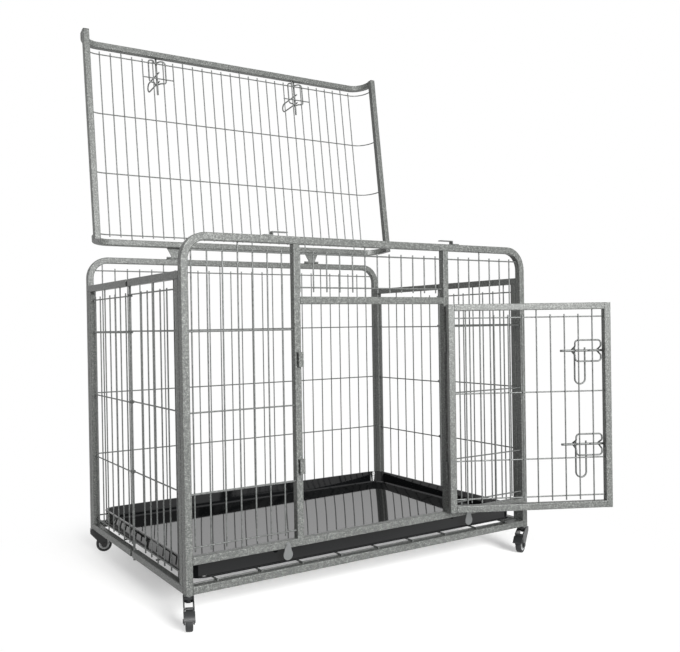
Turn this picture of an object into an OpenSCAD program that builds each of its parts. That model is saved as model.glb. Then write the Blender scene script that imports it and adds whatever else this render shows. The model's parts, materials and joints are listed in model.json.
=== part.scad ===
/* [Crate] */
// Length of the crate along the front
crate_length = 1180; // [1000:5:1300]
// Depth of the crate from the front face to the back face
crate_depth = 765; // [700:5:900]
// Height of the arches above the ends of their posts
arch_height = 882; // [820:1:960]
// Outside width of the square tubes
tube_size = 20; // [18:1:24]
// Rounding of the tubes' long edges
tube_edge = 2.5; // [1:0.5:4]
// Outside radius of the bends at the top of the arches and of the lid
bend_radius = 70; // [50:1:80]
// Height of the side panels' top rails above the ends of the posts
side_height = 788; // [720:1:795]

/* [Wires] */
// Diameter of the mesh wires
wire_d = 4; // [3:0.5:5]
// Distance between neighbouring upright wires
wire_pitch = 43; // [36:1:46]
// Heights of the four main rows of the mesh above the ends of the posts
row_heights = [838, 638.5, 440, 242];
// Height of the lowest row beside the door
front_low_row = 112; // [105:1:130]
// Height of the top row of the side panels
side_top_row = 742; // [730:1:752]
// Height of the lowest row of the sides and of the back
low_row = 41; // [36:1:60]

/* [Front] */
// Distance from the left end to the left door post
door_post_left = 320; // [290:1:340]
// Distance from the left end to the right door post
door_post_right = 840; // [790:1:850]
// Height of the underside of the bar over the door
header_height = 705; // [690:1:720]
// Height of the underside of the sill
sill_height = 71; // [66:1:80]

/* [Door] */
// Gap between the door and its opening
door_gap = 2; // [1.5:0.5:4]
// Angle at which the door stands open
door_open = 155; // [120:1:165]
// Heights of the two bolts on the door
bolt_heights = [560, 280];
// Travel of a bolt
bolt_travel = 35; // [28:1:35]

/* [Lid] */
// Gap between the lid's front rail and the front arch
lid_gap_front = 8; // [7:1:14]
// Gap between the lid's rear rail and the rear arch
lid_gap_back = 22; // [18:1:30]
// Angle at which the lid stands open
lid_open = 97; // [96:1:110]
// Distances of the lid's bolts from the left end
lid_bolt_places = [286, 856];

/* [Tray] */
// Height of the tray's lip above the ends of the posts
tray_lip = 69; // [58:1:70]
// Wall of the tray
tray_wall = 3; // [2:0.5:4]
// Radius of the tray's corners
tray_corner = 42; // [36:1:60]

/* [Casters] */
// Diameter of the wheels
wheel_d = 50; // [44:1:54]
// Width of the tyres
wheel_w = 18; // [16:1:20]
// Height of a caster from the floor to the end of the post
caster_height = 77; // [76:1:90]
// Distance from the swivel to the axle, seen from above
caster_trail = 30; // [26:1:34]

/* [Hidden] */
$fn = 32;

// Paints and plastics
paint = "#8d8f8d";
wire_paint = "#55585a";
black_plastic = "#1b1c1d";
rim_grey = "#c9cbcb";
bright_steel = "#b9bcbd";

// One overrun for every cut, and the clearances of the fits
overrun = 1;
running_fit = 0.05;
sliding_fit = 0.3;
seat_gap = 0.3;
weld_sink = 0.5;

// Places that follow from the crate's size
half_tube = tube_size / 2;
bend_centre = bend_radius - half_tube;
back_face = crate_depth - tube_size;
right_face = crate_length - tube_size;
mid_depth = crate_depth / 2;
sill_top = sill_height + tube_size;
header_top = header_height + tube_size;
side_rail_low = side_height - tube_size;
stile_back = crate_depth - 2 * tube_size;
wire_step = wire_d - weld_sink;
mesh_first_left = 12;
mesh_first_door = 6;
mesh_first_right = 7;
header_row = 749;
left_wires = fitting(door_post_left - tube_size, mesh_first_left, wire_pitch);
header_wires = fitting(door_post_right - door_post_left - tube_size, mesh_first_door, wire_pitch);
right_wires = fitting(right_face - door_post_right - tube_size, mesh_first_right, wire_pitch);
rear_wires = floor((right_face - tube_size) / wire_pitch);
rear_anchor_every = 5;
bend_inner = bend_radius - tube_size;
bend_foot = arch_height - bend_radius;

// Fold of the side panels
rod_d = 7;
rod_gap = 16;
rod_rise = 0.5;
rod_drop = 10;
eye_d = wire_d;
eye_gap = 0.1;
eye_ring = rod_d / 2 + sliding_fit + eye_d / 2;
eye_lift = eye_d / 2 + eye_gap;
fold_first_front = 80;
fold_pitch_front = 45.5;
fold_first_back = 45;
fold_pitch_back = 47;
fold_wires_front = fitting(mid_depth - 2 * tube_size, fold_first_front, fold_pitch_front);
fold_wires_back = fitting(mid_depth - 2 * tube_size, fold_first_back, fold_pitch_back);
tail_low = 12;
tail_high = 8;

// Floor grid
grid_d = 5;
grid_cross_count = 9;
grid_lap = 12;
grid_long_shares = [0.034, 0.34, 0.66, 0.956];

// Tray
tray_side_gap = 27;
tray_front_gap = 28;
tray_back_gap = 38;
tray_bottom = tube_size + grid_d + seat_gap;
tray_lip_w = 8;
tray_bead = 5;
tray_x = crate_length - 2 * tray_side_gap;
tray_y = crate_depth - tray_front_gap - tray_back_gap;

// Tray tabs
tab_places = [288, 925];
tab_thick = 2;
tab_drop = 26;
tab_top_r = 7;
tab_step = 0.3;
tab_round_r = 14;
rivet_d = 6;
rivet_head = 10;
rivet_head_h = 1.6;
rivet_deep = 8;

// Door
door_x0 = door_post_left + tube_size + door_gap;
door_x1 = door_post_right - door_gap;
door_z0 = sill_top + door_gap;
door_z1 = header_height - door_gap;
door_w = door_x1 - door_x0;
door_h = door_z1 - door_z0;
door_rows = [662, 440, 242, 130];
door_wires = floor((door_w - 2 * tube_size) / wire_pitch);
barrel_d = 8;
door_axis_x = door_post_right - door_gap / 2;
barrel_gap = 1;
door_axis_y = -barrel_d / 2 - barrel_gap;
door_pin_d = 4;
knuckle_h = 20;
knuckle_gap = 0.5;
door_hinge_heights = [592, 209];
leaf_thick = 2;
leaf_w = 14;

// Bolts, seen along their own travel from the carrier's free edge
bolt_d = 7;
bolt_len = 140;
bolt_face_gap = 0.5;
bolt_lift = bolt_d / 2 + bolt_face_gap;
bolt_tip_gap = 6;
handle_d = 5;
handle_w = 32;
handle_drop = 84;
handle_top = 9;
handle_from_tip = 61.5;
guide_d = 5;
guide_room = 13;
guide_w = bolt_travel + handle_w + guide_room;
guide_h = 63;
guide_r = 10;
guide_gap = 6;
guide_from_edge = tube_size + guide_gap;
ring_d = 4;
ring_r = bolt_d / 2 + sliding_fit + ring_d / 2;
door_guide_level = guide_d / 2 - half_tube - wire_step / 2 + wire_d / 2;
lid_guide_level = guide_d / 2 - half_tube + wire_step / 2 + wire_d / 2;
support_from_edge = 92;

// Keepers and catches
keeper_w = 15;
keeper_h = 38;
keeper_thick = 2;
keeper_room = 1;
keeper_out = bolt_lift + bolt_d / 2 + keeper_room;
catch_w = 14;
catch_thick = 2.5;
catch_base = 26;
catch_room = 1.5;
catch_rise = bolt_lift + bolt_d / 2 + catch_room;
catch_reach = 44;
catch_past = 20;

// Lid
lid_rail_front = tube_size + lid_gap_front + half_tube;
lid_rail_back = back_face - lid_gap_back - half_tube;
lid_proud = 0.5;
lid_top = arch_height + lid_proud;
lid_level = lid_top - half_tube;
lid_seat = 1;
lid_tube_low = side_height + lid_seat;
lid_tube_level = lid_tube_low + half_tube;
lid_leg_low = lid_tube_low + tube_size;
lid_axis_y = crate_depth - half_tube;
lid_barrel_d = 8;
lid_axis_z = arch_height + lid_seat + lid_barrel_d / 2;
lid_pin_d = 4;
lid_hinge_places = [310, 870];
lid_hinge_w = 60;
lid_hinge_gap = 0.5;
lid_leaf_thick = 2;
lid_leaf_w = 60;
lid_pitch = 38;
lid_wire_count = floor((crate_length - 2 * bend_radius) / lid_pitch) + 1;
lid_rows = [29, 236, 440, 648];
lid_anchor_every = 6;
lid_anchor_first = 2;
cap_thick = 2.5;
lid_tube_front = lid_rail_front - half_tube + cap_thick;
lid_tube_back = lid_rail_back + half_tube - cap_thick;

// Casters
stem_d = 8;
stem_up = 30;
stem_flange_d = 22;
stem_flange_h = 2;
stem_head_d = 13;
stem_head_h = 3;
hub_d = 27;
hub_h = 12;
hub_gap = 0.6;
axle_d = 6;
axle_head_d = 11;
axle_head_h = 2;
cheek_thick = 3;
cheek_gap = 1.2;
cheek_r = 9.5;
bridge_h = 5;
rim_r = 17;
rim_dish = 2.5;
rim_hub_r = 7;
rim_band = 3;
tyre_edge = 4;
pedal_pin_d = 4;
pedal_pin_back = 7;
pedal_pin_x = caster_trail + pedal_pin_back;
pedal_pin_z = 55.5;
pedal_thick = 3;
pedal_eye_r = 4.5;
pedal_plate_w = 28;
pedal_arc_r = 29.5;
pedal_tip_angle = 16;
pedal_wide_angle = 60;
pedal_lap_angle = 55;
pedal_step = 0.3;
pedal_eye_angle = 77;
pedal_lip = 5;
axle_z = wheel_d / 2;
hub_top = caster_height - stem_flange_h - hub_gap;
hub_low = hub_top - hub_h;
cheek_in = wheel_w / 2 + cheek_gap;
cheek_out = cheek_in + cheek_thick;
pedal_w = 2 * cheek_in - 2 * cheek_gap;
caster_angles = [248, 205, 344, 290];

// Origin: the middle of the whole outline on the floor, with the door and the lid as they stand
door_reach = door_axis_x - door_x0;
outline_right = door_axis_x - door_reach * cos(door_open);
outline_front = door_axis_y - door_reach * sin(door_open) - tube_size;
outline_left = -caster_trail;
lid_edge = lid_rail_front - half_tube;
lid_reach = lid_axis_y - lid_edge - bolt_tip_gap - handle_from_tip - handle_w / 2;
handle_out = lid_top - lid_axis_z + bolt_lift + handle_drop + handle_w / 2 + handle_d / 2;
outline_back = lid_axis_y - lid_reach * cos(lid_open) + handle_out * sin(lid_open);
origin_x = (outline_left + outline_right) / 2;
origin_y = (outline_front + outline_back) / 2;

// How many wires fit in a width when the first one and the pitch are given
function fitting(width, first, pitch) = floor((width - first - wire_d) / pitch) + 1;

// Inner face of an arch's bend: how far in a wire at a height starts, and how high a wire near a leg ends
function bend_face(z) = z + wire_d / 2 <= bend_foot ? tube_size :
    bend_radius + seat_gap - sqrt(pow(bend_inner, 2) - pow(z + wire_d / 2 - bend_foot, 2));
function bend_roof(x) = x - wire_d / 2 >= bend_radius ? arch_height - tube_size :
    bend_foot - seat_gap + sqrt(pow(bend_inner, 2) - pow(bend_radius - x + wire_d / 2, 2));

function centred(low, high, count, step) =
    [for (i = [0 : count - 1]) (low + high) / 2 + (i - (count - 1) / 2) * step];

// Moves a piece from the left front post's corner to the part's own origin
module seated() {
    translate([-origin_x, -origin_y, 0]) children();
}

// Moves a piece up from the ends of the posts
module framed() {
    seated() translate([0, 0, caster_height]) children();
}

// Square tube section with rounded edges
module tube_section() {
    square([tube_size, tube_size - 2 * tube_edge], center = true);
    square([tube_size - 2 * tube_edge, tube_size], center = true);
    for (x = [-1, 1], y = [-1, 1])
        translate([x * (half_tube - tube_edge), y * (half_tube - tube_edge)]) circle(tube_edge);
}

module tube_up(length) {
    linear_extrude(length) tube_section();
}

module tube_along(length) {
    rotate([0, 90, 0]) linear_extrude(length) tube_section();
}

module tube_back(length) {
    rotate([-90, 0, 0]) linear_extrude(length) tube_section();
}

// Quarter bend of the tube, from upright at its foot to level at its top
module tube_bend() {
    translate([bend_centre, 0, 0]) rotate([90, 0, 180])
        rotate_extrude(angle = 90, $fn = 64) translate([bend_centre, 0]) tube_section();
}

// Inverted U of one tube: two legs, two bends and the rail over them
module bent_frame(low, high) {
    leg = high - bend_radius - low;
    for (side = [0, 1]) mirror_at(side, crate_length / 2) {
        translate([half_tube, 0, low]) tube_up(leg);
        translate([half_tube, 0, low + leg]) tube_bend();
    }
    translate([bend_radius, 0, high - half_tube]) tube_along(crate_length - 2 * bend_radius);
}

module mirror_at(side, x) {
    translate([side * 2 * x, 0, 0]) mirror([side, 0, 0]) children();
}

module arch(y) {
    difference() {
        translate([0, y, 0]) bent_frame(0, arch_height);
        for (x = [half_tube, crate_length - half_tube])
            translate([x, y, -overrun]) cylinder(h = stem_up + 2 * overrun, d = stem_d + 2 * running_fit);
    }
}

module front_arch() {
    color(paint) arch(half_tube);
}

module rear_arch() {
    color(paint) arch(crate_depth - half_tube);
}

// Two uprights between the sill and the top rail
module door_posts() {
    color(paint) for (x = [door_post_left, door_post_right])
        translate([x + half_tube, half_tube, sill_top])
            tube_up(arch_height - tube_size - sill_top);
}

module door_header() {
    x0 = door_post_left + tube_size;
    color(paint) translate([x0, half_tube, header_height + half_tube])
        tube_along(door_post_right - x0);
}

module front_sill_rail() {
    color(paint) difference() {
        translate([tube_size, half_tube, sill_height + half_tube])
            tube_along(right_face - tube_size);
        for (x = tab_places)
            translate([x, -overrun, sill_height + half_tube]) rotate([-90, 0, 0])
                cylinder(h = rivet_deep + overrun, d = rivet_d);
    }
}

module front_base_rail() {
    color(paint) translate([tube_size, half_tube, half_tube]) tube_along(right_face - tube_size);
}

module rear_base_rail() {
    color(paint) translate([tube_size, crate_depth - half_tube, half_tube])
        tube_along(right_face - tube_size);
}

// Rails of the four half panels, cut short of the fold rods
module half_rails(z) {
    run = mid_depth - rod_gap / 2 - tube_size;
    for (x = [half_tube, crate_length - half_tube], y = [tube_size, mid_depth + rod_gap / 2])
        translate([x, y, z]) tube_back(run);
}

module side_top_rails() {
    color(paint) half_rails(side_height - half_tube);
}

module side_base_rails() {
    color(paint) half_rails(half_tube);
}

module side_stiles() {
    color(paint) for (x = [half_tube, crate_length - half_tube])
        for (y = [tube_size + half_tube, stile_back + half_tube])
            translate([x, y, tube_size]) tube_up(side_rail_low - tube_size);
}

// Round wires
module wire_along(length, d = wire_d) {
    rotate([0, 90, 0]) cylinder(h = length, d = d);
}

module wire_back(length, d = wire_d) {
    rotate([-90, 0, 0]) cylinder(h = length, d = d);
}

// Flat mesh: rows across, uprights behind them, anchors that reach the tubes
module flat_mesh(x0, x1, rows, uprights, anchors, low, high) {
    half_step = wire_step / 2;
    z0 = min(rows) - tail_low;
    z1 = max(rows) + tail_high;
    for (z = rows) {
        start = max(x0, bend_face(z));
        end = min(x1, crate_length - bend_face(z));
        translate([start, -half_step, z]) wire_along(end - start);
    }
    for (i = [0 : len(uprights) - 1]) {
        held = len(search(i, anchors)) > 0;
        bottom = held ? low : z0;
        top = min(held ? high : z1, bend_roof(min(uprights[i], crate_length - uprights[i])));
        translate([uprights[i], half_step, bottom]) cylinder(h = top - bottom, d = wire_d);
    }
}

module front_mesh(x0, x1, rows, first, count, anchors, low) {
    uprights = [for (i = [0 : count - 1]) x0 + first + i * wire_pitch];
    color(wire_paint) translate([0, half_tube, 0])
        flat_mesh(x0, x1, rows, uprights, anchors, low, arch_height - tube_size);
}

module front_left_mesh() {
    rows = concat(row_heights, [front_low_row]);
    front_mesh(tube_size, door_post_left, rows, mesh_first_left, left_wires, [3], sill_top);
}

module front_header_mesh() {
    x0 = door_post_left + tube_size;
    rows = [row_heights[0], header_row];
    front_mesh(x0, door_post_right, rows, mesh_first_door, header_wires, [5], header_top);
}

module front_right_mesh() {
    x0 = door_post_right + tube_size;
    rows = concat(row_heights, [front_low_row]);
    front_mesh(x0, right_face, rows, mesh_first_right, right_wires, [3], sill_top);
}

module rear_mesh() {
    color(wire_paint) translate([0, crate_depth - half_tube, 0])
        flat_mesh(tube_size, right_face, concat(row_heights, [low_row]),
            centred(tube_size, right_face, rear_wires, wire_pitch),
            [for (i = [0 : rear_anchor_every : rear_wires - 1]) i],
            tube_size, arch_height - tube_size);
}

// Half of a side panel: its rows end in eyes round the fold rod
module half_side_mesh(lift, first, pitch, count, anchors) {
    rows = concat([side_top_row], [row_heights[1], row_heights[2], row_heights[3]], [low_row]);
    reach = mid_depth - 2 * tube_size - eye_ring;
    color(wire_paint) for (z = rows) {
        translate([half_tube, 2 * tube_size, z + lift]) wire_back(reach);
        translate([half_tube, mid_depth, z + lift])
            rotate_extrude($fn = 48) translate([eye_ring, 0]) circle(d = eye_d);
    }
    color(wire_paint) for (i = [0 : count - 1]) {
        held = len(search(i, anchors)) > 0;
        low = held ? tube_size : low_row - tail_low;
        high = held ? side_rail_low : side_top_row + tail_high;
        translate([half_tube + wire_step, mid_depth - first - i * pitch, low])
            cylinder(h = high - low, d = wire_d);
    }
}

module front_half_mesh() {
    half_side_mesh(eye_lift, fold_first_front, fold_pitch_front, fold_wires_front, [2, 5]);
}

module rear_half_mesh() {
    translate([0, crate_depth, 0]) mirror([0, 1, 0])
        half_side_mesh(-eye_lift, fold_first_back, fold_pitch_back, fold_wires_back, [1, 4]);
}

module left_front_mesh() {
    front_half_mesh();
}

module left_rear_mesh() {
    rear_half_mesh();
}

module right_front_mesh() {
    mirror_at(1, crate_length / 2) front_half_mesh();
}

module right_rear_mesh() {
    mirror_at(1, crate_length / 2) rear_half_mesh();
}

// Upright rods on which the side panels fold
module fold_rods() {
    color(wire_paint) for (x = [half_tube, crate_length - half_tube])
        translate([x, mid_depth, -rod_drop]) cylinder(h = side_height + rod_rise + rod_drop, d = rod_d);
}

// Wires under the tray, laid over the front and the rear base rails
module floor_grid() {
    run = back_face - tube_size + 2 * grid_lap;
    span = crate_length - 2 * tray_side_gap;
    level = tube_size + grid_d / 2;
    pitch = span / grid_cross_count;
    color(wire_paint) {
        for (x = centred(tray_side_gap, crate_length - tray_side_gap, grid_cross_count, pitch))
            translate([x, tube_size - grid_lap, level]) wire_back(run, grid_d);
        for (share = grid_long_shares)
            translate([tray_side_gap, crate_depth * share, level - grid_d + weld_sink])
                wire_along(span, grid_d);
    }
}

// Rounded rectangle made of true arcs
module rounded_plate(x, y, r) {
    translate([r, 0]) square([x - 2 * r, y]);
    translate([0, r]) square([x, y - 2 * r]);
    for (cx = [r, x - r], cy = [r, y - r]) translate([cx, cy]) circle(r, $fn = 64);
}

module tray_block(inset, low, high) {
    translate([tray_side_gap + inset, tray_front_gap + inset, low]) linear_extrude(high - low)
        rounded_plate(tray_x - 2 * inset, tray_y - 2 * inset, tray_corner - inset);
}

// Moulded pan with a rolled lip and a bead round its foot
module tray() {
    color(black_plastic) difference() {
        union() {
            tray_block(tray_lip_w / 2, tray_bottom, tray_lip);
            tray_block(0, tray_lip - tray_wall, tray_lip);
            tray_block(tray_lip_w / 4, tray_bottom, tray_bottom + tray_bead);
        }
        tray_block(tray_lip_w / 2 + tray_wall, tray_bottom + tray_wall, tray_lip + overrun);
    }
}

// Drop-shaped tab that turns on its rivet and holds the tray in
module tray_tab(x) {
    color(bright_steel) translate([x, -seat_gap, sill_height + half_tube]) rotate([90, 0, 0])
        linear_extrude(tab_thick) difference() {
            union() {
                circle(tab_top_r);
                translate([0, -tab_drop]) circle(tab_round_r, $fn = 48);
                polygon([
                    [-tab_top_r + tab_step, 0], [tab_top_r - tab_step, 0],
                    [tab_round_r - tab_step, -tab_drop], [-tab_round_r + tab_step, -tab_drop]
                ]);
            }
            circle(d = rivet_d + 2 * running_fit);
        }
}

module tray_tab_left() {
    tray_tab(tab_places[0]);
}

module tray_tab_right() {
    tray_tab(tab_places[1]);
}

module tab_rivets() {
    stack = tab_thick + 2 * seat_gap;
    color(bright_steel) for (x = tab_places)
        translate([x, 0, sill_height + half_tube]) rotate([90, 0, 0]) {
            translate([0, 0, -rivet_deep]) cylinder(h = rivet_deep + stack, d = rivet_d);
            translate([0, 0, stack]) cylinder(h = rivet_head_h, d = rivet_head);
        }
}

// Bridge plates on the left door post that take the door's bolts
module door_keepers() {
    x0 = door_post_left + tube_size - keeper_w;
    foot = keeper_thick;
    color(paint) for (z = bolt_heights) translate([x0, 0, z - keeper_h / 2]) difference() {
        translate([0, -keeper_out - keeper_thick, 0]) cube([keeper_w, keeper_out + keeper_thick, keeper_h]);
        translate([-overrun, -keeper_out, foot])
            cube([keeper_w + 2 * overrun, keeper_out + overrun, keeper_h - 2 * foot]);
    }
}

// Strips on the top rail whose tongues reach over the lid's bolts
module lid_catch() {
    riser = catch_base - catch_thick;
    translate([0, half_tube - catch_w / 2, arch_height]) {
        cube([catch_base, catch_w, catch_thick]);
        translate([riser, 0, 0]) cube([catch_thick, catch_w, catch_rise + catch_thick]);
        translate([riser, 0, catch_rise]) cube([catch_reach + catch_thick, catch_w, catch_thick]);
    }
}

module lid_catches() {
    back = catch_base + catch_reach - catch_past;
    color(wire_paint) {
        translate([lid_bolt_places[0] - back, 0, 0]) lid_catch();
        translate([lid_bolt_places[1] + back, 0, 0]) mirror([1, 0, 0]) lid_catch();
    }
}

// Door hinges: two knuckles on the post, one between them on the door
module door_axis(z) {
    translate([door_axis_x, door_axis_y, z]) children();
}

module barrel(low, h, d, bore) {
    translate([0, 0, low]) difference() {
        cylinder(h = h, d = d);
        translate([0, 0, -overrun]) cylinder(h = h + 2 * overrun, d = bore);
    }
}

module knuckle_plate(low, h, side) {
    reach = leaf_w + door_gap / 2;
    translate([side > 0 ? 0 : -reach, -door_axis_y - leaf_thick, low]) cube([reach, leaf_thick, h]);
}

module knuckle(low, side) {
    difference() {
        union() {
            translate([0, 0, low]) cylinder(h = knuckle_h, d = barrel_d);
            knuckle_plate(low, knuckle_h, side);
        }
        translate([0, 0, low - overrun])
            cylinder(h = knuckle_h + 2 * overrun, d = door_pin_d + (side > 0 ? 0 : 2 * running_fit));
    }
}

module door_post_knuckles() {
    step = knuckle_h + knuckle_gap;
    color(paint) for (z = door_hinge_heights) door_axis(z)
        for (level = [-step, step]) knuckle(level - knuckle_h / 2, 1);
}

// Pins of the door's and the lid's hinges
module hinge_pins() {
    door_pin = 3 * knuckle_h + 2 * knuckle_gap;
    color(bright_steel) {
        for (z = door_hinge_heights) door_axis(z - door_pin / 2) cylinder(h = door_pin, d = door_pin_d);
        for (x = lid_hinge_places) lid_axis(x - lid_hinge_w / 2) wire_along(lid_hinge_w, lid_pin_d);
    }
}

// Lid hinges: brackets on the rear rail, leaves on the lid
module lid_axis(x) {
    translate([x, lid_axis_y, lid_axis_z]) children();
}

module lid_barrel(x, w, bore) {
    translate([x, 0, 0]) rotate([0, 90, 0]) barrel(0, w, lid_barrel_d, bore);
}

module lid_hinge_brackets() {
    w = lid_hinge_w / 4;
    foot = half_tube - tube_edge;
    high = lid_axis_z - arch_height;
    color(paint) for (x = lid_hinge_places) lid_axis(x) for (side = [-1, 1])
        translate([side * (lid_hinge_w - w) / 2 - w / 2, 0, 0]) difference() {
            union() {
                rotate([0, 90, 0]) cylinder(h = w, d = lid_barrel_d);
                translate([0, 0, -high]) cube([w, lid_barrel_d / 2, high]);
                translate([0, 0, -high]) cube([w, foot, lid_leaf_thick]);
            }
            translate([-overrun, 0, 0]) wire_along(w + 2 * overrun, lid_pin_d);
        }
}

// Turns a piece from the closed lid to the lid as it stands
module lid_opened() {
    translate([0, lid_axis_y, lid_axis_z]) rotate([-lid_open, 0, 0])
        translate([0, -lid_axis_y, -lid_axis_z]) children();
}

module lid_rails() {
    color(paint) lid_opened() for (y = [lid_rail_front, lid_rail_back])
        translate([0, y, 0]) bent_frame(lid_leg_low, lid_top);
}

module lid_side_tubes() {
    color(paint) lid_opened() for (x = [half_tube, crate_length - half_tube])
        translate([x, lid_tube_front, lid_tube_level]) tube_back(lid_tube_back - lid_tube_front);
}

module lid_end_caps() {
    color(black_plastic) lid_opened() for (x = [half_tube, crate_length - half_tube])
        for (y = [lid_tube_front - cap_thick, lid_tube_back])
            translate([x, y, lid_tube_level]) tube_back(cap_thick);
}

module lid_wire_bend() {
    translate([bend_centre, 0, 0]) rotate([90, 0, 180])
        rotate_extrude(angle = 90, $fn = 64) translate([bend_centre, 0]) circle(d = wire_d);
}

module lid_mesh() {
    front = lid_rail_front + half_tube;
    back = lid_rail_back - half_tube;
    rows = [for (y = lid_rows) lid_rail_front + y];
    places = centred(0, crate_length, lid_wire_count, lid_pitch);
    leg = lid_level - bend_centre - lid_leg_low;
    color(wire_paint) lid_opened() {
        for (y = rows) translate([0, y, 0]) {
            for (side = [0, 1]) mirror_at(side, crate_length / 2) {
                translate([half_tube, 0, lid_leg_low]) cylinder(h = leg + wire_step / 2, d = wire_d);
                translate([half_tube, 0, lid_leg_low + leg + wire_step / 2]) lid_wire_bend();
            }
            translate([bend_radius, 0, lid_level + wire_step / 2])
                wire_along(crate_length - 2 * bend_radius);
        }
        for (i = [0 : lid_wire_count - 1]) {
            held = i % lid_anchor_every == lid_anchor_first;
            y0 = held ? front : rows[0] - tail_high;
            y1 = held ? back : rows[3] + tail_high;
            translate([places[i], y0, lid_level - wire_step / 2]) wire_back(y1 - y0);
        }
    }
}

module lid_hinge_leaves() {
    w = lid_hinge_w / 2 - 2 * lid_hinge_gap;
    reach = lid_axis_y - lid_rail_back + half_tube - tube_edge;
    shelf = lid_top - lid_axis_z;
    weld = tube_size - 2 * tube_edge;
    neck = lid_barrel_d / 2 + lid_hinge_gap;
    color(paint) lid_opened() for (x = lid_hinge_places) lid_axis(x) difference() {
        union() {
            translate([-w / 2, 0, 0]) rotate([0, 90, 0]) cylinder(h = w, d = lid_barrel_d);
            translate([0, 0, shelf]) linear_extrude(lid_leaf_thick) polygon([
                [-w / 2, 0], [-w / 2, -neck], [-lid_leaf_w / 2, -reach + weld], [-lid_leaf_w / 2, -reach],
                [lid_leaf_w / 2, -reach], [lid_leaf_w / 2, -reach + weld], [w / 2, -neck], [w / 2, 0]
            ]);
        }
        translate([-w / 2 - overrun, 0, 0]) wire_along(w + 2 * overrun, lid_pin_d + 2 * running_fit);
    }
}

// Bolt in its own frame: it slides along -X, its carrier's outer face is at Z = 0, its tip starts at 0
module bolt(handle_turn) {
    loop_r = handle_w / 2;
    level = bolt_d / 2 + handle_d / 2 - weld_sink;
    translate([0, 0, bolt_lift]) {
        wire_along(bolt_len, bolt_d);
        rotate([handle_turn, 0, 0]) translate([handle_from_tip, 0, level]) {
            for (x = [0, handle_w]) translate([x, -handle_drop, 0]) rotate([-90, 0, 0])
                cylinder(h = handle_drop + handle_top, d = handle_d);
            translate([loop_r, -handle_drop, 0]) rotate([0, 0, 180])
                rotate_extrude(angle = 180, $fn = 48) translate([loop_r, 0]) circle(d = handle_d);
        }
    }
}

// Wire frame that guides a bolt, in the bolt's own frame, with the carrier's edge at X = 0
module bolt_guide(guide_level) {
    x0 = guide_from_edge;
    x1 = guide_from_edge + guide_w;
    half = guide_h / 2;
    peak = bolt_lift - ring_r;
    for (y = [-half, half])
        translate([x0 + guide_r, y, guide_level]) wire_along(guide_w - 2 * guide_r, guide_d);
    for (x = [x0, x1]) {
        translate([x, -half + guide_r, guide_level]) wire_back(guide_h - 2 * guide_r, guide_d);
        translate([x, 0, guide_level]) cylinder(h = peak - guide_level, d = ring_d);
        translate([x, 0, bolt_lift]) rotate([0, 90, 0])
            rotate_extrude($fn = 48) translate([ring_r, 0]) circle(d = ring_d);
    }
    corners = [[x0, -half, 0], [x1, -half, 90], [x1, half, 180], [x0, half, 270]];
    for (c = corners) translate([c[0], c[1], guide_level]) rotate([0, 0, c[2]])
        translate([guide_r, guide_r, 0]) rotate([0, 0, 180])
            rotate_extrude(angle = 90, $fn = 48) translate([guide_r, 0]) circle(d = guide_d);
}

// Turns a piece from the closed door to the door as it stands
module door_opened() {
    translate([door_axis_x, door_axis_y, 0]) rotate([0, 0, door_open])
        translate([-door_axis_x, -door_axis_y, 0]) children();
}

// Puts a bolt's own frame on the closed door's free edge, outer face to the front
module on_door(z) {
    translate([door_x0, 0, z]) rotate([90, 0, 0]) children();
}

// Puts a bolt's own frame on the closed lid's front edge, outer face up, handle towards the left
module on_lid(x) {
    translate([x, lid_rail_front - half_tube, lid_top]) rotate([0, 0, 90]) mirror([0, 1, 0]) children();
}

module door_frame() {
    color(paint) door_opened() {
        for (x = [door_x0, door_x1 - tube_size])
            translate([x + half_tube, half_tube, door_z0]) tube_up(door_h);
        for (z = [door_z0, door_z1 - tube_size])
            translate([door_x0 + tube_size, half_tube, z + half_tube]) tube_along(door_w - 2 * tube_size);
    }
}

module door_mesh() {
    x0 = door_x0 + tube_size;
    x1 = door_x1 - tube_size;
    color(wire_paint) door_opened() translate([0, half_tube, 0])
        flat_mesh(x0, x1, door_rows, centred(x0, x1, door_wires, wire_pitch), [0, 4, 9],
            door_z0 + tube_size, door_z1 - tube_size);
}

module door_hinge_leaves() {
    color(paint) door_opened() for (z = door_hinge_heights) door_axis(z) knuckle(-knuckle_h / 2, -1);
}

module door_bolt_guides() {
    color(wire_paint) door_opened() for (z = bolt_heights) on_door(z) bolt_guide(door_guide_level);
}

module door_bolt(z) {
    color(wire_paint) door_opened() on_door(z) translate([bolt_tip_gap, 0, 0]) bolt(0);
}

module door_bolt_upper() {
    door_bolt(bolt_heights[0]);
}

module door_bolt_lower() {
    door_bolt(bolt_heights[1]);
}

module lid_bolt_guides() {
    color(wire_paint) lid_opened() for (x = lid_bolt_places) on_lid(x) {
        bolt_guide(lid_guide_level);
        translate([support_from_edge, -1.5 * lid_pitch, wire_d - half_tube - wire_step / 2])
            wire_back(3 * lid_pitch);
    }
}

module lid_bolt(x) {
    color(wire_paint) lid_opened() on_lid(x) translate([bolt_tip_gap, 0, 0]) bolt(-90);
}

module lid_bolt_left() {
    lid_bolt(lid_bolt_places[0]);
}

module lid_bolt_right() {
    lid_bolt(lid_bolt_places[1]);
}

// Casters: each stands under a post, swivel axis at the middle of the post
module under_post(i) {
    x = i % 2 == 0 ? half_tube : crate_length - half_tube;
    y = i < 2 ? half_tube : crate_depth - half_tube;
    seated() translate([x, y, 0]) rotate([0, 0, caster_angles[i]]) children();
}

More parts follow.
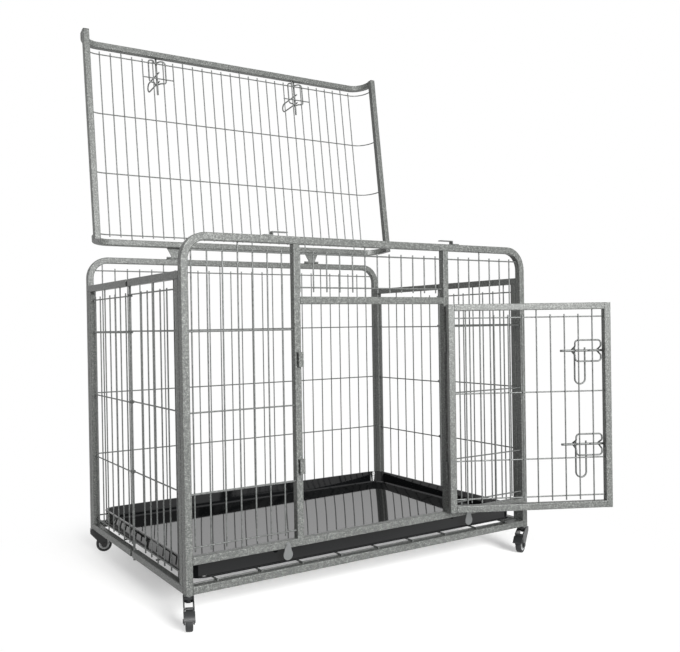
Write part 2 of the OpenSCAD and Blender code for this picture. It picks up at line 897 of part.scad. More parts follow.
module caster_stem() {
    translate([0, 0, hub_low - stem_head_h - hub_gap]) cylinder(h = stem_head_h, d = stem_head_d);
    translate([0, 0, hub_low - hub_gap])
        cylinder(h = caster_height + stem_up - hub_low + hub_gap, d = stem_d);
    translate([0, 0, caster_height - stem_flange_h]) cylinder(h = stem_flange_h, d = stem_flange_d);
}

module caster_stems() {
    color(bright_steel) for (i = [0 : 3]) under_post(i) caster_stem();
}

// One cheek of the fork, seen from the side
module cheek() {
    difference() {
        union() {
            translate([caster_trail, axle_z]) circle(cheek_r);
            polygon([
                [-hub_d / 2, hub_low], [-hub_d / 2, hub_top], [hub_d / 2, hub_top],
                [pedal_pin_x + pedal_eye_r, pedal_pin_z + pedal_eye_r],
                [pedal_pin_x + pedal_eye_r, pedal_pin_z - pedal_eye_r],
                [caster_trail + cheek_r, axle_z], [caster_trail - cheek_r, axle_z]
            ]);
        }
        translate([caster_trail, axle_z]) circle(d = axle_d);
    }
}

module fork() {
    stack = 2 * cheek_out;
    color(black_plastic) difference() {
        union() {
            for (y = [-cheek_in, cheek_out])
                translate([0, y, 0]) rotate([90, 0, 0]) linear_extrude(cheek_thick) cheek();
            translate([-hub_d / 2, -cheek_out, hub_top - bridge_h]) cube([hub_d, stack, bridge_h]);
            translate([0, 0, hub_low]) cylinder(h = hub_h, d = hub_d);
        }
        translate([0, 0, hub_low - overrun])
            cylinder(h = hub_h + 2 * overrun, d = stem_d + 2 * running_fit);
    }
    color(bright_steel) translate([caster_trail, 0, axle_z]) rotate([90, 0, 0]) {
        translate([0, 0, -cheek_out]) cylinder(h = stack, d = axle_d);
        for (z = [-cheek_out - axle_head_h, cheek_out])
            translate([0, 0, z]) cylinder(h = axle_head_h, d = axle_head_d);
    }
    color(bright_steel) translate([pedal_pin_x, 0, pedal_pin_z]) rotate([90, 0, 0])
        translate([0, 0, -cheek_in]) cylinder(h = 2 * cheek_in, d = pedal_pin_d);
}

// Turns a profile of radius and width about the axle
module about_axle() {
    translate([caster_trail, 0, axle_z]) rotate([90, 0, 0]) rotate_extrude($fn = 64) children();
}

module rim() {
    half = wheel_w / 2 - tyre_edge / 4;
    bore = axle_d / 2 + running_fit;
    color(rim_grey) about_axle() polygon([
        [bore, -half], [rim_hub_r, -half], [rim_hub_r, -half + rim_dish],
        [rim_r - rim_band, -half + rim_dish],
        [rim_r - rim_band, -half], [rim_r, -half], [rim_r, half], [rim_r - rim_band, half],
        [rim_r - rim_band, half - rim_dish], [rim_hub_r, half - rim_dish], [rim_hub_r, half], [bore, half]
    ]);
}

module tyre() {
    half = wheel_w / 2;
    inner = rim_r + running_fit;
    outer = wheel_d / 2;
    color(black_plastic) about_axle() {
        polygon([
            [inner, -half + tyre_edge / 2], [inner + tyre_edge / 2, -half], [outer - tyre_edge, -half],
            [outer - tyre_edge, half], [inner + tyre_edge / 2, half], [inner, half - tyre_edge / 2]
        ]);
        translate([outer - tyre_edge - overrun, -half + tyre_edge])
            square([tyre_edge + overrun, wheel_w - 2 * tyre_edge]);
        for (y = [-half + tyre_edge, half - tyre_edge]) translate([outer - tyre_edge, y]) circle(tyre_edge);
    }
}

// Part of a ring about the axle, between two angles above the trailing side
module pedal_arc(low, high, w, inset) {
    translate([caster_trail, 0, axle_z]) rotate([90, 0, 0]) rotate([0, 0, low])
        rotate_extrude(angle = high - low, $fn = 96) translate([pedal_arc_r + inset, -w / 2])
            square([pedal_thick - 2 * inset, w]);
}

// Brake pedal: a curved plate round the back of the wheel, hung on its own pin
module pedal() {
    color(black_plastic) difference() {
        union() {
            pedal_arc(pedal_tip_angle, pedal_wide_angle, pedal_plate_w, 0);
            pedal_arc(pedal_lap_angle, pedal_eye_angle, pedal_w, pedal_step);
            translate([caster_trail, -pedal_plate_w / 2, axle_z]) rotate([0, -pedal_tip_angle, 0])
                translate([pedal_arc_r + pedal_thick / 2, pedal_step, pedal_step])
                    cube([pedal_lip, pedal_plate_w - 2 * pedal_step, pedal_thick]);
            translate([pedal_pin_x, pedal_w / 2, pedal_pin_z]) rotate([90, 0, 0])
                cylinder(h = pedal_w, r = pedal_eye_r);
        }
        translate([pedal_pin_x, cheek_in, pedal_pin_z]) rotate([90, 0, 0])
            cylinder(h = 2 * cheek_in, d = pedal_pin_d + 2 * running_fit);
    }
}

framed() front_arch();
framed() rear_arch();
framed() door_posts();
framed() door_header();
framed() front_sill_rail();
framed() front_base_rail();
framed() rear_base_rail();
framed() side_top_rails();
framed() side_base_rails();
framed() side_stiles();
framed() front_left_mesh();
framed() front_header_mesh();
framed() front_right_mesh();
framed() rear_mesh();
framed() left_rear_mesh();
framed() left_front_mesh();
framed() right_rear_mesh();
framed() right_front_mesh();
framed() fold_rods();
framed() floor_grid();
framed() door_keepers();
framed() lid_catches();
framed() hinge_pins();
framed() door_post_knuckles();
framed() lid_hinge_brackets();
framed() tab_rivets();
caster_stems();
framed() tray();
framed() tray_tab_left();
framed() tray_tab_right();
framed() lid_rails();
framed() lid_side_tubes();
framed() lid_mesh();
framed() lid_end_caps();
framed() lid_hinge_leaves();
framed() lid_bolt_guides();
framed() lid_bolt_left();
framed() lid_bolt_right();
framed() door_frame();
framed() door_mesh();
framed() door_hinge_leaves();
framed() door_bolt_guides();
framed() door_bolt_upper();
framed() door_bolt_lower();
under_post(0) fork();  // fork_front_left
under_post(0) rim();  // rim_front_left
under_post(0) tyre();  // tyre_front_left
under_post(0) pedal();  // pedal_front_left
under_post(1) fork();  // fork_front_right
under_post(1) rim();  // rim_front_right
under_post(1) tyre();  // tyre_front_right
under_post(1) pedal();  // pedal_front_right
under_post(2) fork();  // fork_rear_left
under_post(2) rim();  // rim_rear_left
under_post(2) tyre();  // tyre_rear_left
under_post(2) pedal();  // pedal_rear_left
under_post(3) fork();  // fork_rear_right
under_post(3) rim();  // rim_rear_right
under_post(3) tyre();  // tyre_rear_right
under_post(3) pedal();  // pedal_rear_right
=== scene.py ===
"""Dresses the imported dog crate: paints tubes and wires, bends guides, moulds the tray and sets a studio."""

import json
import math

import bpy
from mathutils import Matrix, Vector

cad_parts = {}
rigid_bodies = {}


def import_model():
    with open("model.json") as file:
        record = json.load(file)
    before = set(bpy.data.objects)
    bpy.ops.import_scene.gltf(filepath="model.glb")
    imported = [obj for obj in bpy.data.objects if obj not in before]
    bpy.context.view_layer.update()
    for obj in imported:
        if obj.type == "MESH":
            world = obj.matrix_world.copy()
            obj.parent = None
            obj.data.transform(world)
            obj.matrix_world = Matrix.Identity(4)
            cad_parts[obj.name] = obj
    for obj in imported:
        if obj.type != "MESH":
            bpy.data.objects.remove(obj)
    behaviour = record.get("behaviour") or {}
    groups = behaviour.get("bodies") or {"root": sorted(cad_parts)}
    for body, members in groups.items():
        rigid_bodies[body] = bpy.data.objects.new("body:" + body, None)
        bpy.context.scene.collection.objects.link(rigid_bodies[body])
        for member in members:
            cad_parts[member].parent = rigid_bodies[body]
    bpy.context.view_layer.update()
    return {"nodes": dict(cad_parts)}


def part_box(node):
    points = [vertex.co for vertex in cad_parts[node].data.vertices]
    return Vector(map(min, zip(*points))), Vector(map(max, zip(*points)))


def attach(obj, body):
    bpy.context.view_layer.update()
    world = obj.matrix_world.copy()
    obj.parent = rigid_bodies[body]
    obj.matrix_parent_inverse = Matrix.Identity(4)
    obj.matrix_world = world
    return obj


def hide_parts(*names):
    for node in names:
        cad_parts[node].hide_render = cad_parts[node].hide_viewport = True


bl_info = {
    "name": "Dog crate dresser",
    "version": (1, 0, 0),
    "blender": (4, 5, 0),
    "location": "View3D > Sidebar > Dog crate",
    "description": "Paints a packed dog crate, moulds its tray and sets up a studio",
    "category": "Object",
}

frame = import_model()
NODES = frame["nodes"]
TRAY_LOW, TRAY_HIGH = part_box("tray")

IMAGE_WIDTH = 680.0
SENSOR_WIDTH = 36.0
QUARTER = math.radians(90)
FLOOR_WIDTH = 40.0
WORLD_FILL = 0.14
WORLD_WHITE = 1.0

# Each lamp's name, place, aim, width and power.
LAMPS = (
    ("key_lamp", (-0.4, -6.0, 2.6), (0.0, 0.0, 0.5), 3.0, 740.0),
    ("fill_lamp", (-3.0, -1.8, 2.8), (0.0, 0.0, 0.5), 2.4, 2.0),
    ("back_lamp", (0.4, 2.2, 4.2), (0.0, 0.0, 0.3), 2.8, 15.0),
)


def linear(hex_colour):
    """An sRGB hex colour as linear RGBA."""
    values = [int(hex_colour[i : i + 2], 16) / 255 for i in (1, 3, 5)]
    return (*[v / 12.92 if v <= 0.04045 else ((v + 0.055) / 1.055) ** 2.4 for v in values], 1.0)


def add_node(tree, kind, settings=None, inputs=None, links=None):
    """Adds one node, sets its properties and sockets, and links sockets from other nodes' outputs."""
    node = tree.nodes.new(kind)
    for name, value in (settings or {}).items():
        setattr(node, name, value)
    for name, value in (inputs or {}).items():
        node.inputs[name].default_value = value
    for name, source in (links or {}).items():
        tree.links.new(source, node.inputs[name])
    return node


def new_material(name):
    """An empty node material and its output node."""
    material = bpy.data.materials.new(name)
    material.use_nodes = True
    material.node_tree.nodes.clear()
    output = add_node(material.node_tree, "ShaderNodeOutputMaterial")
    return material, material.node_tree, output


def grained_material(name, tone, grain, shine, metal, ior):
    """A material of one tone whose grain varies its shine and its surface a little."""
    material, tree, output = new_material(name)
    place = add_node(tree, "ShaderNodeTexCoord")
    cloud = add_node(
        tree,
        "ShaderNodeTexNoise",
        {},
        {"Scale": 1.0 / grain, "Detail": 4.0, "Roughness": 0.6},
        {"Vector": place.outputs["Object"]},
    )
    shading = add_node(tree, "ShaderNodeValToRGB", {}, {}, {"Fac": cloud.outputs["Fac"]})
    shading.color_ramp.elements[0].position = 0.3
    shading.color_ramp.elements[0].color = tuple(0.82 * part for part in linear(tone)[:3]) + (1.0,)
    shading.color_ramp.elements[1].position = 0.7
    shading.color_ramp.elements[1].color = linear(tone)
    blur = add_node(
        tree,
        "ShaderNodeMapRange",
        {},
        {"To Min": shine * 0.8, "To Max": shine * 1.2},
        {"Value": cloud.outputs["Fac"]},
    )
    relief = add_node(
        tree, "ShaderNodeBump", {}, {"Strength": 0.05, "Distance": 0.0002}, {"Height": cloud.outputs["Fac"]}
    )
    skin = add_node(
        tree,
        "ShaderNodeBsdfPrincipled",
        {},
        {"Metallic": metal, "IOR": ior},
        {
            "Base Color": shading.outputs["Color"],
            "Roughness": blur.outputs["Result"],
            "Normal": relief.outputs["Normal"],
        },
    )
    tree.links.new(skin.outputs["BSDF"], output.inputs["Surface"])
    return material


def dress(names, material):
    """Gives CAD nodes one material."""
    for name in names:
        node = NODES[name]
        node.data.materials.clear()
        node.data.materials.append(material)


def nodes_named(*parts):
    """The CAD nodes whose names hold one of these words."""
    return [name for name in NODES if any(part in name for part in parts)]


def deselect_all():
    for thing in bpy.context.view_layer.objects:
        thing.select_set(False)


def bend_wire(name, points, corners, width, closed):
    """Draws a wire out of one point, rounds the bends it is given and thickens it."""
    deselect_all()
    bpy.ops.mesh.primitive_plane_add(size=width, location=points[0])
    piece = bpy.context.object
    piece.name = name
    bpy.ops.object.mode_set(mode="EDIT")
    bpy.ops.mesh.select_all(action="SELECT")
    bpy.ops.mesh.merge(type="CENTER")
    for start, end in zip(points, points[1:]):
        step = Vector(end) - Vector(start)
        bpy.ops.mesh.extrude_region_move(TRANSFORM_OT_translate={"value": step})
    if closed:
        pick_vertices(piece, [0, len(points) - 1])
        bpy.ops.mesh.edge_face_add()
    bpy.ops.object.mode_set(mode="OBJECT")
    bpy.ops.object.transform_apply(location=True, rotation=True, scale=True)
    bpy.ops.object.mode_set(mode="EDIT")
    for radius, places in corners:
        spots = [Vector(points[place]) for place in places]
        bpy.ops.object.mode_set(mode="OBJECT")
        close = width / 100
        near = [v.index for v in piece.data.vertices if any((v.co - spot).length < close for spot in spots)]
        bpy.ops.object.mode_set(mode="EDIT")
        pick_vertices(piece, near)
        bpy.ops.mesh.bevel(offset=radius, offset_type="OFFSET", segments=6, affect="VERTICES")
    bpy.ops.object.mode_set(mode="OBJECT")
    bpy.ops.object.convert(target="CURVE")
    piece = bpy.context.object
    piece.data.bevel_depth = width / 2
    piece.data.bevel_resolution = 4
    piece.data.use_fill_caps = not closed
    bpy.ops.object.convert(target="MESH")
    piece = bpy.context.object
    bpy.ops.object.mode_set(mode="EDIT")
    bpy.ops.mesh.select_all(action="SELECT")
    bpy.ops.mesh.remove_doubles(threshold=width / 1000)
    bpy.ops.object.mode_set(mode="OBJECT")
    bpy.ops.object.shade_smooth_by_angle(angle=math.radians(50))
    return piece


def pick_vertices(piece, wanted):
    """Selects, in the mesh of a piece in edit mode, the vertices with these numbers."""
    bpy.ops.mesh.select_mode(type="VERT")
    bpy.ops.mesh.select_all(action="DESELECT")
    bpy.ops.object.mode_set(mode="OBJECT")
    for index in wanted:
        piece.data.vertices[index].select = True
    bpy.ops.object.mode_set(mode="EDIT")


def join_pieces(name, pieces):
    """Joins pieces into the first one."""
    deselect_all()
    for piece in pieces:
        piece.select_set(True)
    bpy.context.view_layer.objects.active = pieces[0]
    bpy.ops.object.join()
    pieces[0].name = name
    return pieces[0]


def size_value(name, description, default):
    """A length that can be set."""
    return bpy.props.FloatProperty(name=name, description=description, default=default, unit="LENGTH")


def angle_value(name, description, degrees):
    """An angle that can be set."""
    default = math.radians(degrees)
    return bpy.props.FloatProperty(name=name, description=description, default=default, subtype="ANGLE")


def plain_value(name, description, default):
    """A number that can be set."""
    return bpy.props.FloatProperty(name=name, description=description, default=default, precision=5)


def list_value(name, description, default):
    """A short list of numbers that can be set."""
    return bpy.props.FloatVectorProperty(
        name=name, description=description, size=len(default), default=default, precision=5
    )


def place_value(name, description, default):
    """A place that can be set."""
    return bpy.props.FloatVectorProperty(
        name=name, description=description, size=3, subtype="TRANSLATION", default=default
    )


def tone_value(name, description, default):
    """A colour that can be set, in hex."""
    return bpy.props.StringProperty(name=name, description=description, default=default)


class CrateLatches(bpy.types.PropertyGroup):
    corner: place_value(
        "Front left corner",
        "The crate's front left corner, at the posts' ends",
        (-0.629717, -0.349811, 0.077),
    )
    door_axis: list_value("Door hinge", "The door hinge, from that corner", (0.839, -0.005, 0.0))
    door_angle: angle_value("Door", "How far the door stands open", 155)
    door_edge: size_value("Door edge", "Closed door's free edge", 0.342)
    door_levels: list_value("Door bolts", "Heights of the door's bolts", (0.560, 0.280))
    lid_axis: list_value("Lid hinge", "The lid hinge, from that corner", (0.0, 0.755, 0.887))
    lid_angle: angle_value("Lid", "How far the lid stands open", 97)
    lid_edge: list_value("Lid edge", "Closed lid's front edge and top", (0.028, 0.8825))
    lid_places: list_value("Lid bolts", "Places of the lid's bolts", (0.286, 0.856))
    reach: list_value("Guide", "Where a guide starts and ends behind the edge", (0.026, 0.106))
    height: size_value("Guide height", "Height of a guide", 0.063)
    bend: size_value("Guide corner", "Bend of a guide's corners", 0.010)
    wire: size_value("Guide wire", "Thickness of a guide's wire", 0.005)
    notch: list_value("Notch", "Half width and top of the bend over the bolt", (0.0135, 0.0185))
    notch_round: list_value("Notch bends", "Bends at the foot and at the top of the notch", (0.004, 0.005))
    door_level: plain_value("Door guide level", "Of a guide on the door", -0.00725)
    lid_level: plain_value("Lid guide level", "Of a guide on the lid", -0.00375)
    support: list_value(
        "Support", "Place, half length and thickness of the wire under a lid guide", (0.092, 0.057, 0.004)
    )
    support_level: plain_value("Support level", "Of that wire", -0.00775)


class CrateFinish(bpy.types.PropertyGroup):
    paint_light: tone_value("Paint", "Light tone of the hammered paint", "#949693")
    paint_dark: tone_value("Paint veins", "Dark tone of the hammered paint", "#474947")
    wire_tone: tone_value("Wire", "Tone of the painted wires", "#6A6C6B")
    steel_tone: tone_value("Steel", "Tone of the zinc-plated steel", "#868888")
    tray_tone: tone_value("Tray", "Tone of the moulded tray", "#0C0D0E")
    nylon_tone: tone_value("Casters", "Tone of the moulded nylon", "#1A1B1C")
    rim_tone: tone_value("Rims", "Tone of the wheels' middles", "#B8BABA")
    tyre_tone: tone_value("Tyres", "Tone of the tyres", "#202122")
    blotch_size: size_value("Blotch size", "Width of one blotch of the wires' paint", 0.00625)
    hammer_size: size_value("Hammer size", "Width of one dimple of the paint", 0.0016)


class CrateTray(bpy.types.PropertyGroup):
    corner: size_value("Corner", "Radius of the tray's corners", 0.042)
    foot_high: size_value("Foot", "Height of the bead round the foot", 0.005)
    foot_in: size_value("Foot set-back", "From the lip in to the foot", 0.002)
    wall_in: size_value("Wall set-back", "From the lip in to the wall", 0.004)
    lip: size_value("Lip", "Width of the rolled lip", 0.007)
    lip_thick: size_value("Lip thickness", "Thickness of the lip", 0.003)
    wall: size_value("Wall", "Thickness of the tray's floor", 0.003)
    draft: size_value("Draft", "How far the walls lean in", 0.003)
    floor_bend: size_value("Floor bend", "Size of the slope from wall to floor", 0.004)
    roll: size_value("Roll", "Rounding of the edges", 0.0009)


class CrateStudio(bpy.types.PropertyGroup):
    eye: place_value("Camera", "Place of the camera", (-1.380, -2.0671, 0.728))
    heading: angle_value("Heading", "Turn of the camera to the right", 30.328)
    tilt: angle_value("Tilt", "Tilt of the camera upwards", -0.411)
    roll: angle_value("Roll", "Roll of the camera", -0.942)
    focal_pixels: plain_value("Focal length", "Focal length in image pixels", 774.6)
    shift_pixels: list_value("Shift", "Shift of the picture in pixels", (-67.0, 4.7))
    floor_tone: tone_value("Floor", "Tone of the floor", "#F6F6F5")
    # The share of white glow near the crate is painted light: it lightens the crate's shadow on the floor.
    lift: plain_value("Lift", "Share of plain white in the floor near the crate", 0.3)
    fade: list_value("Fade", "Where the floor starts and ends to turn white", (0.35, 1.1))


class CRATE_OT_paint_tubes(bpy.types.Operator):
    """Paints the square tubes with hammered silver paint"""

    bl_idname = "crate.paint_tubes"
    bl_label = "Paint the tubes"

    def execute(self, context):
        finish = context.scene.crate_finish
        # Hammered silver enamel, sprayed: flake gathers in dimples, so the grey is mottled and soft.
        material, tree, output = new_material("hammered_silver_enamel")
        place = add_node(tree, "ShaderNodeTexCoord")
        dimples = add_node(
            tree,
            "ShaderNodeTexVoronoi",
            {"feature": "SMOOTH_F1"},
            {"Scale": 1.0 / finish.hammer_size, "Smoothness": 0.6},
            {"Vector": place.outputs["Object"]},
        )
        blotches = add_node(
            tree,
            "ShaderNodeTexNoise",
            {},
            {"Scale": 0.35 / finish.hammer_size, "Detail": 3.0, "Roughness": 0.6},
            {"Vector": place.outputs["Object"]},
        )
        mottle = add_node(
            tree,
            "ShaderNodeMath",
            {"operation": "ADD"},
            {},
            {0: dimples.outputs["Distance"], 1: blotches.outputs["Fac"]},
        )
        tones = add_node(tree, "ShaderNodeValToRGB", {}, {}, {"Fac": mottle.outputs["Value"]})
        tones.color_ramp.elements[0].position = 0.55
        tones.color_ramp.elements[0].color = linear(finish.paint_light)
        tones.color_ramp.elements[1].position = 1.0
        tones.color_ramp.elements[1].color = linear(finish.paint_dark)
        relief = add_node(
            tree,
            "ShaderNodeBump",
            {},
            {"Strength": 0.25, "Distance": 0.0004},
            {"Height": dimples.outputs["Distance"]},
        )
        skin = add_node(
            tree,
            "ShaderNodeBsdfPrincipled",
            {},
            {"Metallic": 0.1, "Roughness": 0.42, "IOR": 1.45},
            {"Base Color": tones.outputs["Color"], "Normal": relief.outputs["Normal"]},
        )
        tree.links.new(skin.outputs["BSDF"], output.inputs["Surface"])
        frames = nodes_named("arch", "rail", "posts", "header", "stiles", "side_tubes", "door_frame")
        hinges = nodes_named("knuckles", "leaves", "brackets", "keepers")
        painted = [name for name in frames + hinges if not name.endswith("_mesh")]
        dress(painted, material)
        return {"FINISHED"}


class CRATE_OT_paint_wires(bpy.types.Operator):
    """Paints the welded wires, the bolts and the catches"""

    bl_idname = "crate.paint_wires"
    bl_label = "Paint the wires"

    def execute(self, context):
        finish = context.scene.crate_finish
        # The same enamel on thin drawn wire: it runs smooth there, with one soft line of light.
        material, tree, output = new_material("enamelled_drawn_wire")
        place = add_node(tree, "ShaderNodeTexCoord")
        blotches = add_node(
            tree,
            "ShaderNodeTexNoise",
            {},
            {"Scale": 1.0 / finish.blotch_size, "Detail": 2.0},
            {"Vector": place.outputs["Object"]},
        )
        tones = add_node(tree, "ShaderNodeValToRGB", {}, {}, {"Fac": blotches.outputs["Fac"]})
        tones.color_ramp.elements[0].position = 0.3
        tones.color_ramp.elements[0].color = linear(finish.wire_tone)
        tones.color_ramp.elements[1].position = 0.75
        tones.color_ramp.elements[1].color = linear(finish.paint_dark)
        skin = add_node(
            tree,
            "ShaderNodeBsdfPrincipled",
            {},
            {"Metallic": 0.3, "Roughness": 0.42, "IOR": 1.5},
            {"Base Color": tones.outputs["Color"]},
        )
        tree.links.new(skin.outputs["BSDF"], output.inputs["Surface"])
        dress(nodes_named("_mesh", "fold_rods", "floor_grid", "bolt", "catches"), material)
        return {"FINISHED"}


class CRATE_OT_bend_guides(bpy.types.Operator):
    """Bends the wire guides of the bolts, each with a notch over its bolt"""

    bl_idname = "crate.bend_guides"
    bl_label = "Bend the guides"

    def execute(self, context):
        latches = context.scene.crate_latches
        corner = Matrix.Translation(latches.corner)
        swing = self.turned(latches.door_axis, latches.door_angle, "Z")
        door_parts = []
        for level in latches.door_levels:
            seat = Matrix.Translation((latches.door_edge, 0, level)) @ Matrix.Rotation(QUARTER, 4, "X")
            door_parts.append(self.form_guide(latches, latches.door_level, corner @ swing @ seat))
        rise = self.turned(latches.lid_axis, -latches.lid_angle, "X")
        lid_parts = []
        for place in latches.lid_places:
            seat = Matrix.Translation((place, *latches.lid_edge)) @ Matrix.Rotation(QUARTER, 4, "Z")
            lid_parts.append(self.form_guide(latches, latches.lid_level, corner @ rise @ seat))
            lid_parts.append(self.form_support(latches, corner @ rise @ seat))
        for body, parts in (("door", door_parts), ("lid", lid_parts)):
            piece = join_pieces(body + "_guide_wires", parts)
            piece.data.materials.clear()
            piece.data.materials.append(bpy.data.materials["enamelled_drawn_wire"])
            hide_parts(body + "_bolt_guides")
            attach(piece, body)
        return {"FINISHED"}

    def turned(self, axis, angle, about):
        """The turn of a door or lid about its hinge."""
        there = Matrix.Translation(axis)
        return there @ Matrix.Rotation(angle, 4, about) @ there.inverted()

    def form_guide(self, latches, level, place):
        """One closed wire: a rounded frame whose two short sides rise over the bolt."""
        near, far = latches.reach
        half = latches.height / 2
        wide, top = latches.notch
        points = [
            (near, -half, level),
            (far, -half, level),
            (far, -wide, level),
            (far, 0, top),
            (far, wide, level),
            (far, half, level),
            (near, half, level),
            (near, wide, level),
            (near, 0, top),
            (near, -wide, level),
        ]
        foot, peak = latches.notch_round
        corners = [(latches.bend, [0, 1, 5, 6]), (foot, [2, 4, 7, 9]), (peak, [3, 8])]
        piece = bend_wire("guide", points, corners, latches.wire, True)
        piece.data.transform(place)
        return piece

    def form_support(self, latches, place):
        """The short straight wire under a lid guide."""
        along, half, width = latches.support
        ends = [(along, -half, latches.support_level), (along, half, latches.support_level)]
        piece = bend_wire("support", ends, [], width, False)
        piece.data.transform(place)
        return piece


class CRATE_OT_plate_fittings(bpy.types.Operator):
    """Gives the pins, rivets, tabs and stems a zinc-plated finish"""

    bl_idname = "crate.plate_fittings"
    bl_label = "Plate the fittings"

    def execute(self, context):
        finish = context.scene.crate_finish
        # Zinc-plated pressed steel: a plain bright metal with a fine grain that blurs what it mirrors.
        material = grained_material("zinc_plated_steel", finish.steel_tone, 0.0008, 0.42, 1.0, 1.5)
        fittings = nodes_named("hinge_pins", "tab_rivets", "caster_stems", "tray_tab_")
        dress(fittings, material)
        return {"FINISHED"}


class CRATE_OT_mould_tray(bpy.types.Operator):
    """Moulds the tray with drafted walls, round corners and a rolled lip"""

    bl_idname = "crate.mould_tray"
    bl_label = "Mould the tray"

    def execute(self, context):
        finish = context.scene.crate_finish
        # Vacuum-formed black ABS: deep black, and smooth enough to mirror the wires over it.
        material = grained_material("black_abs_tray", finish.tray_tone, 0.06, 0.05, 0.0, 1.42)
        dress(["tray"], material)
        piece = self.form_pan(context.scene.crate_tray)
        piece.data.materials.append(material)
        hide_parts("tray")
        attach(piece, "tray")
        return {"FINISHED"}

    def form_pan(self, sizes):
        """A round-cornered sheet drawn up into a foot, a wall and a lip, then down again to the floor."""
        size = TRAY_HIGH - TRAY_LOW
        rim = size.z - sizes.lip_thick
        profile = [
            (sizes.foot_high, sizes.foot_in),
            (sizes.foot_high, sizes.wall_in),
            (rim, sizes.wall_in),
            (rim, 0.0),
            (size.z, 0.0),
            (size.z, sizes.lip),
            (sizes.wall + sizes.floor_bend, sizes.lip + sizes.draft),
            (sizes.wall, sizes.lip + sizes.draft + sizes.floor_bend),
        ]
        deselect_all()
        bpy.ops.mesh.primitive_plane_add(size=1.0, location=(TRAY_LOW + TRAY_HIGH) / 2)
        piece = bpy.context.object
        piece.name = "moulded_tray"
        piece.location.z = TRAY_LOW.z
        piece.scale = (size.x - 2 * sizes.foot_in, size.y - 2 * sizes.foot_in, 1.0)
        bpy.ops.object.transform_apply(location=True, rotation=True, scale=True)
        bpy.ops.object.mode_set(mode="EDIT")
        bpy.ops.mesh.select_all(action="SELECT")
        bpy.ops.mesh.bevel(offset=sizes.corner, offset_type="OFFSET", segments=10, affect="VERTICES")
        bpy.ops.mesh.select_all(action="SELECT")
        height, inset = 0.0, sizes.foot_in
        for next_height, next_inset in profile:
            bpy.ops.mesh.extrude_region_move(TRANSFORM_OT_translate={"value": (0, 0, next_height - height)})
            factors = [(side - 2 * next_inset) / (side - 2 * inset) for side in (size.x, size.y)]
            bpy.ops.transform.resize(value=(*factors, 1.0))
            height, inset = next_height, next_inset
        bpy.ops.mesh.select_all(action="SELECT")
        bpy.ops.mesh.normals_make_consistent(inside=False)
        bpy.ops.object.mode_set(mode="OBJECT")
        rolled = piece.modifiers.new("rolled_edges", "BEVEL")
        rolled.width = sizes.roll
        rolled.segments = 3
        rolled.limit_method = "ANGLE"
        rolled.angle_limit = math.radians(30)
        bpy.ops.object.modifier_apply(modifier=rolled.name)
        bpy.ops.object.shade_smooth_by_angle(angle=math.radians(35))
        return piece


class CRATE_OT_mould_casters(bpy.types.Operator):
    """Gives the casters, the tyres and the end caps their plastics and rubber"""

    bl_idname = "crate.mould_casters"
    bl_label = "Mould the casters"

    def execute(self, context):
        finish = context.scene.crate_finish
        # Injection-moulded nylon: black with a soft sheen from the mould's fine texture.
        nylon = grained_material("black_nylon", finish.nylon_tone, 0.0012, 0.32, 0.0, 1.53)
        dress(nodes_named("fork_", "pedal_", "end_caps"), nylon)
        # Grey polypropylene wheel middles: pale and satin.
        middle = grained_material("grey_polypropylene", finish.rim_tone, 0.003, 0.4, 0.0, 1.49)
        dress(nodes_named("rim_"), middle)
        # Thermoplastic rubber treads: nearly black and dull.
        tread = grained_material("thermoplastic_rubber", finish.tyre_tone, 0.002, 0.6, 0.0, 1.5)
        dress(nodes_named("tyre_"), tread)
        return {"FINISHED"}


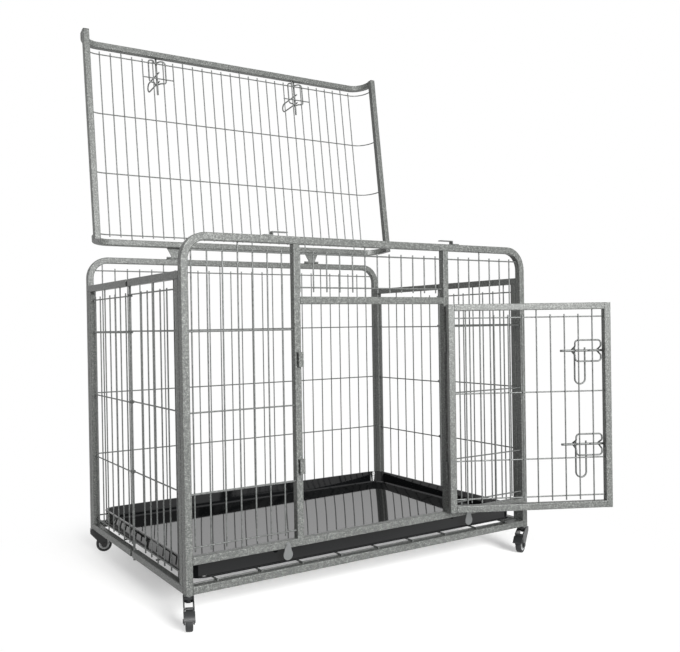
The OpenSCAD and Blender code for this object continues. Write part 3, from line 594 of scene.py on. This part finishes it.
class CRATE_OT_set_stage(bpy.types.Operator):
    """Lays a pale floor, hangs soft lamps and sets the camera"""

    bl_idname = "crate.set_stage"
    bl_label = "Set the stage"

    def execute(self, context):
        studio = context.scene.crate_studio
        self.lay_floor(studio)
        self.light_world(context)
        self.hang_lamps()
        self.set_camera(context, studio)
        context.scene.view_settings.view_transform = "Standard"
        return {"FINISHED"}

    def lay_floor(self, studio):
        deselect_all()
        bpy.ops.mesh.primitive_plane_add(size=FLOOR_WIDTH, location=(0, 0, 0))
        floor = bpy.context.object
        floor.name = "studio_floor"
        # Matt pale floor mixed with a white glow, a painted light: near the crate a small share of glow
        # lightens the crate's shadow, and far off the floor glows as white as the paper behind it.
        material, tree, output = new_material("matt_floor_with_painted_glow")
        place = add_node(tree, "ShaderNodeTexCoord")
        spot = place.outputs["Object"]
        far = add_node(tree, "ShaderNodeVectorMath", {"operation": "LENGTH"}, {}, {0: spot})
        fade = add_node(
            tree,
            "ShaderNodeMapRange",
            {"interpolation_type": "SMOOTHSTEP"},
            {"From Min": studio.fade[0], "From Max": studio.fade[1], "To Min": studio.lift},
            {"Value": far.outputs["Value"]},
        )
        paint = add_node(
            tree, "ShaderNodeBsdfDiffuse", {}, {"Color": linear(studio.floor_tone), "Roughness": 0.5}
        )
        glow = add_node(tree, "ShaderNodeEmission", {}, {"Color": (1, 1, 1, 1), "Strength": 1.0})
        mix = add_node(
            tree,
            "ShaderNodeMixShader",
            {},
            {},
            {0: fade.outputs["Result"], 1: paint.outputs["BSDF"], 2: glow.outputs["Emission"]},
        )
        tree.links.new(mix.outputs["Shader"], output.inputs["Surface"])
        floor.data.materials.append(material)

    def light_world(self, context):
        world = bpy.data.worlds.new("studio_world")
        context.scene.world = world
        world.use_nodes = True
        tree = world.node_tree
        tree.nodes.clear()
        path = add_node(tree, "ShaderNodeLightPath")
        seen = add_node(
            tree,
            "ShaderNodeMath",
            {"operation": "MAXIMUM"},
            {},
            {0: path.outputs["Is Camera Ray"], 1: path.outputs["Is Glossy Ray"]},
        )
        fill = add_node(tree, "ShaderNodeBackground", {}, {"Color": (1, 1, 1, 1), "Strength": WORLD_FILL})
        white = add_node(tree, "ShaderNodeBackground", {}, {"Color": (1, 1, 1, 1), "Strength": WORLD_WHITE})
        mix = add_node(
            tree,
            "ShaderNodeMixShader",
            {},
            {},
            {0: seen.outputs["Value"], 1: fill.outputs["Background"], 2: white.outputs["Background"]},
        )
        output = add_node(tree, "ShaderNodeOutputWorld")
        tree.links.new(mix.outputs["Shader"], output.inputs["Surface"])

    def hang_lamps(self):
        for name, place, aim, size, power in LAMPS:
            deselect_all()
            bpy.ops.object.light_add(type="AREA", location=place)
            lamp = bpy.context.object
            lamp.name = name
            lamp.data.shape = "DISK"
            lamp.data.size = size
            lamp.data.energy = power
            lamp.rotation_euler = (Vector(aim) - Vector(place)).to_track_quat("-Z", "Y").to_euler()

    def set_camera(self, context, studio):
        deselect_all()
        bpy.ops.object.camera_add(location=studio.eye)
        camera = bpy.context.object
        camera.name = "studio_camera"
        turn = (
            Matrix.Rotation(-studio.heading, 3, "Z")
            @ Matrix.Rotation(QUARTER + studio.tilt, 3, "X")
            @ Matrix.Rotation(studio.roll, 3, "Z")
        )
        camera.rotation_euler = turn.to_euler()
        camera.data.sensor_width = SENSOR_WIDTH
        camera.data.lens = studio.focal_pixels * SENSOR_WIDTH / IMAGE_WIDTH
        camera.data.shift_x = -studio.shift_pixels[0] / IMAGE_WIDTH
        camera.data.shift_y = studio.shift_pixels[1] / IMAGE_WIDTH
        context.scene.camera = camera


class CRATE_PT_panel(bpy.types.Panel):
    bl_label = "Dog crate"
    bl_idname = "CRATE_PT_panel"
    bl_space_type = "VIEW_3D"
    bl_region_type = "UI"
    bl_category = "Dog crate"

    def draw(self, context):
        for operator in OPERATORS:
            self.layout.operator(operator.bl_idname)


OPERATORS = (
    CRATE_OT_paint_tubes,
    CRATE_OT_paint_wires,
    CRATE_OT_bend_guides,
    CRATE_OT_plate_fittings,
    CRATE_OT_mould_tray,
    CRATE_OT_mould_casters,
    CRATE_OT_set_stage,
)
GROUPS = {
    "crate_latches": CrateLatches,
    "crate_finish": CrateFinish,
    "crate_tray": CrateTray,
    "crate_studio": CrateStudio,
}


def register():
    for group in GROUPS.values():
        bpy.utils.register_class(group)
    for name, group in GROUPS.items():
        setattr(bpy.types.Scene, name, bpy.props.PointerProperty(type=group))
    for operator in OPERATORS:
        bpy.utils.register_class(operator)
    bpy.utils.register_class(CRATE_PT_panel)


def unregister():
    bpy.utils.unregister_class(CRATE_PT_panel)
    for operator in reversed(OPERATORS):
        bpy.utils.unregister_class(operator)
    for name, group in GROUPS.items():
        delattr(bpy.types.Scene, name)
        bpy.utils.unregister_class(group)


def main():
    register()
    bpy.ops.crate.paint_tubes()
    bpy.ops.crate.paint_wires()
    bpy.ops.crate.bend_guides()
    bpy.ops.crate.plate_fittings()
    bpy.ops.crate.mould_tray()
    bpy.ops.crate.mould_casters()
    bpy.ops.crate.set_stage()


if __name__ == "__main__":
    main()
